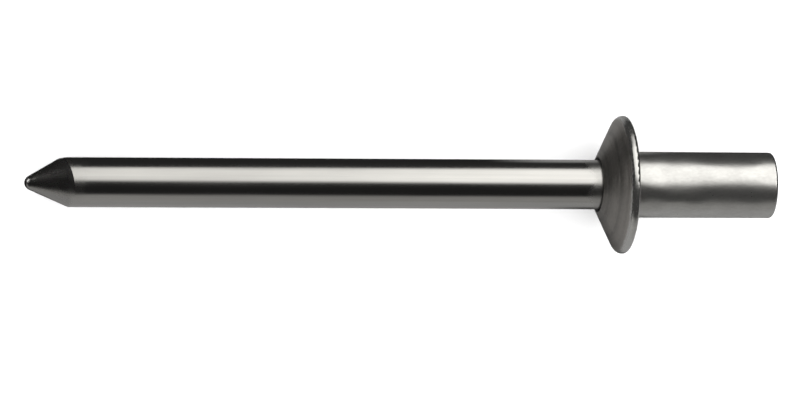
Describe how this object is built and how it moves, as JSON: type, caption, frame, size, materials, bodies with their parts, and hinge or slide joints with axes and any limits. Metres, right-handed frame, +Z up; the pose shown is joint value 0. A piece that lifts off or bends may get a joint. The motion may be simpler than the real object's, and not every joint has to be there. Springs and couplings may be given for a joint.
{
  "type": "closed-end blind rivet",
  "caption": "Closed-end blind rivet: domed conical flange on a plain sleeve with a blind end, set on a long pointed pulling mandrel whose break neck and head are enclosed.",
  "frame": {"origin": "on the surface the rivet lies on, under the middle of its bounding box", "axes": "+Z up; the rivet lies with its mandrel pointing to -X and its closed end to +X, its own axis in the XZ plane and rising 4.43 degrees towards +X"},
  "size_m": [0.0369, 0.0066, 0.0067],
  "materials": {
    "body_metal": "satin",
    "mandrel_metal": "polished"
  },
  "bodies": {
    "root": {"rivet_body": "body_metal", "mandrel": "mandrel_metal"}
  },
  "joints": []
}
